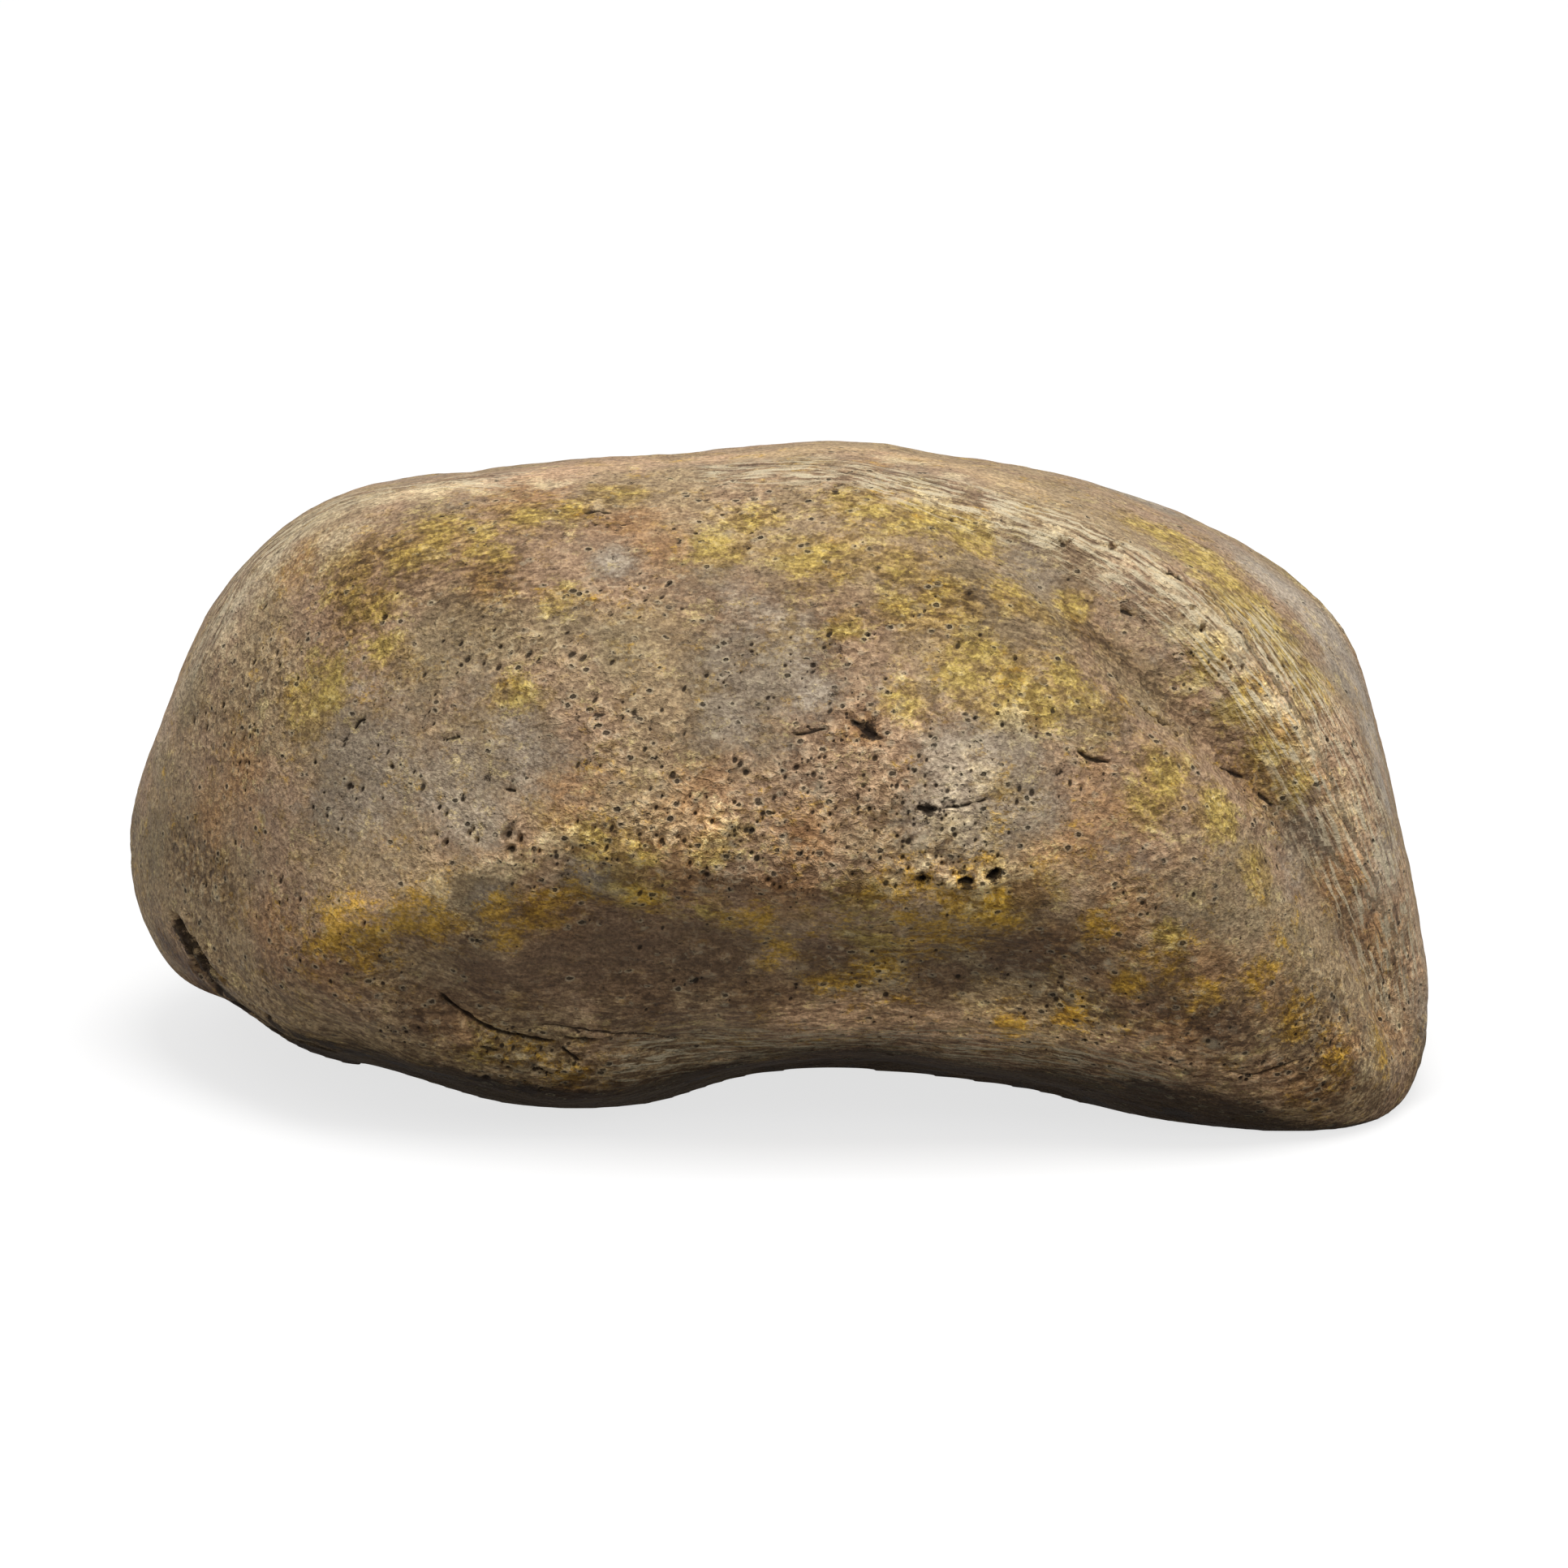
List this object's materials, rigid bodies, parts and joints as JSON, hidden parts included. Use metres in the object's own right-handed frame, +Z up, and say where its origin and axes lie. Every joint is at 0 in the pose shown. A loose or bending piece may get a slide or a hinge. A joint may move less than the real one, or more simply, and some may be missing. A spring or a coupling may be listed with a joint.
{
  "type": "hide a key rock",
  "caption": "Hollowed imitation stone with a key compartment in its underside, closed by a sliding cover.",
  "frame": {"origin": "on the ground under the middle of the stone's overall box", "axes": "+X along the length to the blunt end, +Y to the back, +Z up; the cover slides out along -X"},
  "size_m": [0.09, 0.0729, 0.0449],
  "materials": {
    "stone": "matt cast resin, painted as weathered brown stone",
    "black_plastic": "fine matt moulded plastic",
    "cover_plastic": "fine matt moulded plastic",
    "screw_steel": "zinc plated",
    "gasket": "closed-cell foam rubber",
    "foam": "open-cell foam"
  },
  "bodies": {
    "rock": {"rock_shell": "stone", "key_tub": "black_plastic", "cover_frame": "black_plastic", "frame_screws": "screw_steel", "tub_gasket": "gasket", "foam_pad": "foam"},
    "cover": {"sliding_cover": "cover_plastic"}
  },
  "joints": [
    {"name": "cover_slide", "type": "slide", "parent": "rock", "child": "cover", "axis": [-1, 0, 0], "range_m": [0, 0.052]}
  ]
}
